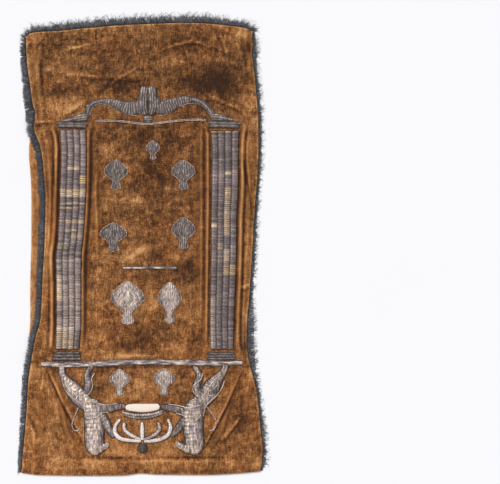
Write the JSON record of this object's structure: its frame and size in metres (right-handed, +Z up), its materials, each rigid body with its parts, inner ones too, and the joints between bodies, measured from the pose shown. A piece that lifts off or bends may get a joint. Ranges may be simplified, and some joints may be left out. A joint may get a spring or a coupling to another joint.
{
  "type": "torah mantle",
  "caption": "Embroidered velvet mantle laid flat: front panel on back panel, fringed hem and sides, raised metal-thread columns, pediment, lions, crown and plain bud motifs.",
  "frame": {"origin": "middle of the mantle's outline on the surface it lies on", "axes": "+Z up out of the embroidered front, +Y towards the fringed hem, +X to the right of the front as seen with the hem at the top"},
  "size_m": [0.4814, 0.8816, 0.0113],
  "materials": {
    "brown_velvet": "crushed silk velvet, worn, golden where the nap turns",
    "shaded_velvet": "the same velvet on the back panel",
    "dark_silk": "dark blue-grey silk fringe",
    "metal_thread": "laid silver thread, greyed, satin sheen",
    "gilt_thread": "thin worn gilt cord",
    "cream_cloth": "matt cream cloth",
    "dark_thread": "tarnished dark thread over padding"
  },
  "bodies": {
    "root": {"back_panel": "shaded_velvet", "front_panel": "brown_velvet", "hem_fringe": "dark_silk", "side_fringe_left": "dark_silk", "side_fringe_right": "dark_silk", "column_shaft_left": "metal_thread", "column_shaft_right": "metal_thread", "column_capital_left": "metal_thread", "column_capital_right": "metal_thread", "column_base_left": "metal_thread", "column_base_right": "metal_thread", "pediment_shell": "metal_thread", "pediment_wing_left": "metal_thread", "pediment_wing_right": "metal_thread", "pediment_knob": "metal_thread", "pediment_scroll_left": "metal_thread", "pediment_scroll_right": "metal_thread", "entablature_cord": "gilt_thread", "lower_bar": "metal_thread", "middle_dash": "metal_thread", "lion_left": "metal_thread", "lion_right": "metal_thread", "lion_tail_left": "gilt_thread", "lion_tail_right": "gilt_thread", "crown_patch": "cream_cloth", "crown_band": "metal_thread", "crown_arches": "metal_thread", "crown_bead": "dark_thread", "motif_top": "metal_thread", "motif_upper_left": "metal_thread", "motif_upper_right": "metal_thread", "motif_middle_left": "metal_thread", "motif_middle_right": "metal_thread", "motif_large_left": "metal_thread", "motif_large_right": "metal_thread", "motif_low_left": "metal_thread", "motif_low_right": "metal_thread"}
  },
  "joints": []
}
